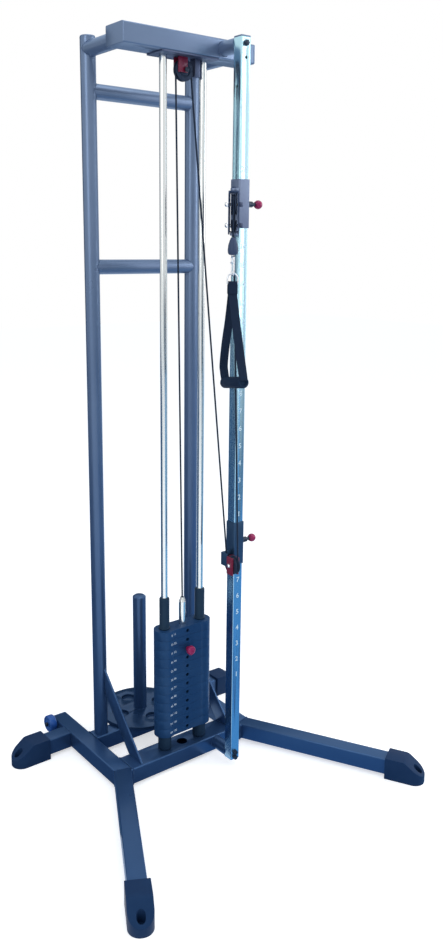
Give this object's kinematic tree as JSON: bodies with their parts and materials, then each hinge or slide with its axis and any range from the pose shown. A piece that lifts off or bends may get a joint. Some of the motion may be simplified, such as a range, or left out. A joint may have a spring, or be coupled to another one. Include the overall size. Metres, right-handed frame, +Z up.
{
  "type": "cable pulley machine",
  "caption": "Free-standing cable machine: a splayed tube frame, a pinned weight stack, a numbered column with high and low pulley carriages and a strap handle.",
  "frame": {"origin": "on the floor, below the middle of the bounding box", "axes": "+Z up, front towards -Y, the column on the +X side"},
  "size_m": [1.0404, 0.9186, 2.102],
  "materials": {
    "frame_paint": "metallic blue-grey powder coat, glossy",
    "storage_steel": "glossy dark grey enamel",
    "foot_rubber": "moulded, slightly glossy",
    "cap_plastic": "moulded black",
    "chrome_steel": "polished",
    "column_zinc": "bright drawn",
    "dark_steel": "blackened",
    "plate_iron": "dark enamel",
    "red_paint": "red enamel",
    "red_plastic": "glossy red",
    "wheel_plastic": "glossy blue",
    "sheave_nylon": "moulded black nylon",
    "block_paint": "dark blue-black powder coat",
    "cable_jacket": "smooth black jacket",
    "ball_rubber": "moulded dark blue-black",
    "webbing": "woven dark blue-black webbing",
    "grip_foam": "dense dark foam, fine texture"
  },
  "bodies": {
    "frame": {"left_side_rail": "frame_paint", "right_side_rail": "frame_paint", "rear_cross_rail": "frame_paint", "front_rail": "frame_paint", "front_legs": "frame_paint", "rear_legs": "frame_paint", "front_feet": "foot_rubber", "rear_feet": "foot_rubber", "left_upright": "frame_paint", "right_upright": "frame_paint", "crossbars": "frame_paint", "top_arms": "frame_paint", "top_beam": "frame_paint", "end_caps": "cap_plastic", "braces": "frame_paint", "storage_disc": "storage_steel", "storage_post": "frame_paint", "guide_rods": "chrome_steel", "rod_plate": "dark_steel", "bumpers": "foot_rubber", "column": "column_zinc", "column_stubs": "frame_paint", "frame_bolts": "dark_steel", "lower_plates": "plate_iron", "top_pulley_bracket": "red_paint", "cable_keeper": "dark_steel", "top_cable_wrap": "cable_jacket"},
    "stack": {"top_plate": "plate_iron", "selector_stem": "chrome_steel", "guide_sleeves": "cap_plastic", "lifted_plates": "plate_iron", "stack_cable": "cable_jacket"},
    "selector_pin_body": {"selector_pin": "red_plastic"},
    "top_sheave_body": {"top_sheave": "sheave_nylon"},
    "left_wheel_body": {"left_wheel": "wheel_plastic"},
    "right_wheel_body": {"right_wheel": "wheel_plastic"},
    "lower_carriage": {"lower_collar": "frame_paint", "lower_pop_barrel": "cap_plastic", "lower_pulley_housing": "red_paint", "lower_axle": "chrome_steel", "low_cable_wrap": "cable_jacket", "slanted_cable": "cable_jacket"},
    "lower_sheave_body": {"lower_sheave": "sheave_nylon"},
    "lower_pop_pin_body": {"lower_pop_pin": "red_plastic"},
    "upper_carriage": {"upper_collar": "frame_paint", "upper_pop_barrel": "cap_plastic", "riser_cable": "cable_jacket"},
    "upper_pop_pin_body": {"upper_pop_pin": "red_plastic"},
    "swivel": {"swivel_block": "block_paint", "block_axles": "chrome_steel", "block_cable_wrap": "cable_jacket"},
    "main_sheave_body": {"main_sheave": "sheave_nylon"},
    "guide_sheave_body": {"guide_sheave": "sheave_nylon"},
    "handle": {"handle_cable": "cable_jacket", "stop_ball": "ball_rubber", "snap_hook": "chrome_steel", "d_ring": "chrome_steel", "strap": "webbing"},
    "hook_gate_body": {"hook_gate": "chrome_steel"},
    "hand_grip_body": {"hand_grip": "grip_foam"}
  },
  "joints": [
    {"name": "stack_lift", "type": "slide", "parent": "frame", "child": "stack", "axis": [0, 0, 1], "range_m": [0, 1.1], "deforming": ["stack_cable"]},
    {"name": "selector_pin_pull", "type": "slide", "parent": "stack", "child": "selector_pin_body", "axis": [0, -1, 0], "range_m": [0, 0.07]},
    {"name": "top_sheave_spin", "type": "hinge", "parent": "frame", "child": "top_sheave_body", "pos_m": [0, 0.07934, 2.008], "axis": [0, 1, 0], "continuous": true},
    {"name": "upper_carriage_slide", "type": "slide", "parent": "frame", "child": "upper_carriage", "axis": [0, 0, 1], "range_m": [-0.8, 0.1], "deforming": ["riser_cable"]},
    {"name": "lower_carriage_slide", "type": "slide", "parent": "frame", "child": "lower_carriage", "axis": [0, 0, 1], "range_m": [-0.4, 0.05], "deforming": ["slanted_cable"]},
    {"name": "lower_sheave_spin", "type": "hinge", "parent": "lower_carriage", "child": "lower_sheave_body", "pos_m": [0.0654, -0.07426, 0.667], "axis": [1, 0, 0], "continuous": true},
    {"name": "lower_pin_engage", "type": "slide", "parent": "lower_carriage", "child": "lower_pop_pin_body", "axis": [-1, 0, 0], "range_m": [0, 0.01]},
    {"name": "upper_pin_engage", "type": "slide", "parent": "upper_carriage", "child": "upper_pop_pin_body", "axis": [-1, 0, 0], "range_m": [0, 0.01]},
    {"name": "block_swivel", "type": "hinge", "parent": "upper_carriage", "child": "swivel", "pos_m": [0.0629, -0.06376, 1.668], "axis": [0, 0, 1], "range_deg": [-40, 50]},
    {"name": "main_sheave_spin", "type": "hinge", "parent": "swivel", "child": "main_sheave_body", "pos_m": [0.04684, -0.0816, 1.663], "axis": [0.7431, -0.6691, 0], "continuous": true},
    {"name": "guide_sheave_spin", "type": "hinge", "parent": "swivel", "child": "guide_sheave_body", "pos_m": [0.05554, -0.07193, 1.6105], "axis": [0.7431, -0.6691, 0], "continuous": true},
    {"name": "handle_pull", "type": "slide", "parent": "swivel", "child": "handle", "axis": [-0.3346, -0.3716, -0.866], "range_m": [0, 1.1], "deforming": ["handle_cable"]},
    {"name": "hook_gate_open", "type": "hinge", "parent": "handle", "child": "hook_gate_body", "pos_m": [0.03235, -0.09312, 1.5147], "axis": [0.9703, -0.2419, 0], "range_deg": [-25, 0], "stiffness_Nm_per_rad": 0.02, "springref_deg": 20.05},
    {"name": "grip_turn", "type": "hinge", "parent": "handle", "child": "hand_grip_body", "pos_m": [0.02643, -0.1169, 1.202], "axis": [-0.2396, -0.9609, 0.1392], "continuous": true},
    {"name": "left_wheel_spin", "type": "hinge", "parent": "frame", "child": "left_wheel_body", "pos_m": [-0.2675, 0.43334, 0.048], "axis": [1, 0, 0], "continuous": true},
    {"name": "right_wheel_spin", "type": "hinge", "parent": "frame", "child": "right_wheel_body", "pos_m": [0.2675, 0.43334, 0.048], "axis": [1, 0, 0], "continuous": true}
  ],
  "couplings": [
    {"joint": "top_sheave_spin", "follows": "stack_lift", "rad_per_m": 40.816},
    {"joint": "lower_sheave_spin", "follows": "stack_lift", "rad_per_m": -41.667},
    {"joint": "main_sheave_spin", "follows": "stack_lift", "rad_per_m": 41.667},
    {"joint": "guide_sheave_spin", "follows": "stack_lift", "rad_per_m": 90.909},
    {"joint": "handle_pull", "follows": "stack_lift", "ratio": 1},
    {"joint": "lower_carriage_slide", "follows": "upper_carriage_slide", "ratio": 0.5}
  ]
}
